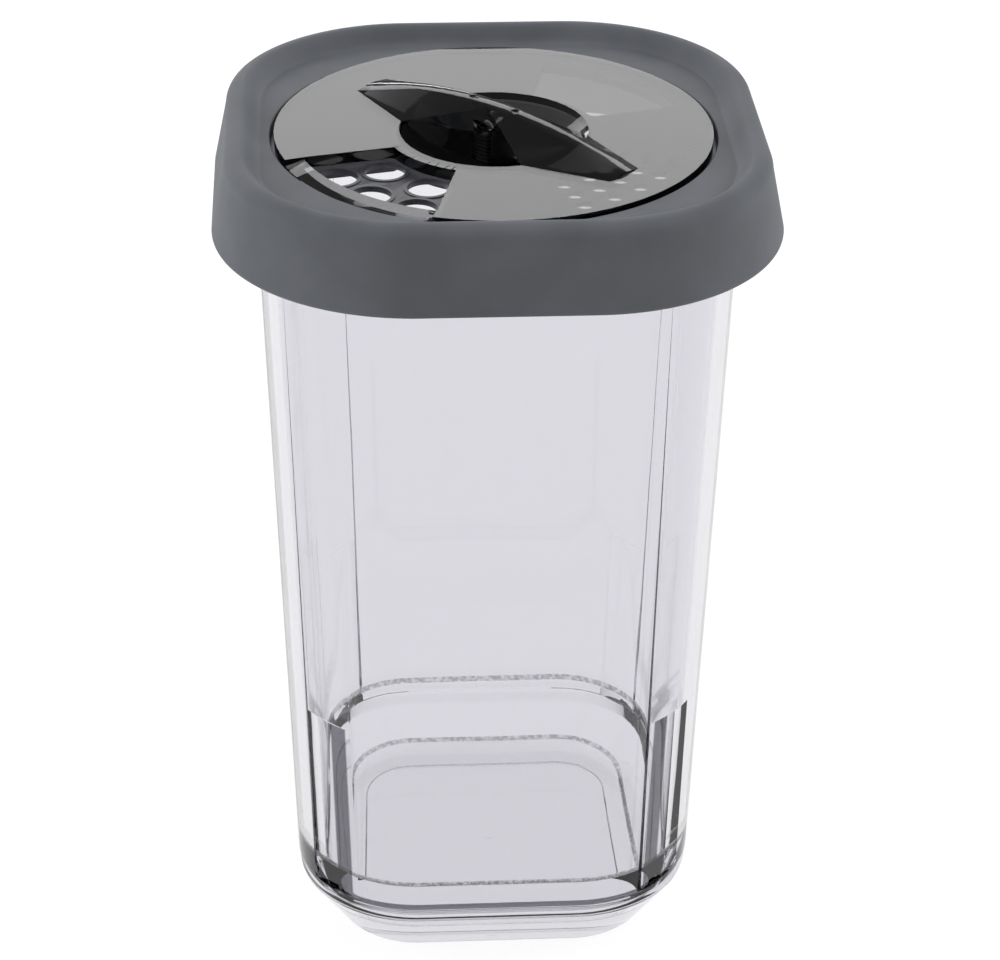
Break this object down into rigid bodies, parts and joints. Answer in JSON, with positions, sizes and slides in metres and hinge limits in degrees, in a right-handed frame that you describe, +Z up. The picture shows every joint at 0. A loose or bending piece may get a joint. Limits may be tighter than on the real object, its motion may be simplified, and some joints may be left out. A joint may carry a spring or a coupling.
{
  "type": "spice shaker",
  "caption": "Clear square spice jar with a soft grey push-on lid and a smoky turning dial whose window stops over a coarse sieve, a fine sieve or a pour opening.",
  "frame": {"origin": "middle of the foot ring, on the plane that the jar stands on", "axes": "+Z up through the jar and the dial's pivot; -Y is the front, the side the picture is taken from; +X to the right"},
  "size_m": [0.0678, 0.0678, 0.1103],
  "materials": {
    "clear_plastic": "clear moulded",
    "soft_grey": "matt soft-touch",
    "grey_plastic": "satin moulded",
    "silicone": "translucent matt",
    "smoke_plastic": "smoky clear, polished",
    "pin_plastic": "satin moulded"
  },
  "bodies": {
    "jar": {"jar": "clear_plastic"},
    "lid": {"lid_cover": "soft_grey", "lid_core": "grey_plastic", "mouth_seal": "silicone"},
    "dial": {"dial": "smoke_plastic", "pivot_pin": "pin_plastic"}
  },
  "joints": [
    {"name": "lid_lift", "type": "slide", "parent": "jar", "child": "lid", "axis": [0, 0, 1], "range_m": [0, 0.07]},
    {"name": "dial_turn", "type": "hinge", "parent": "lid", "child": "dial", "pos_m": [0, 0, 0.1062], "axis": [0, 0, 1], "continuous": true}
  ]
}
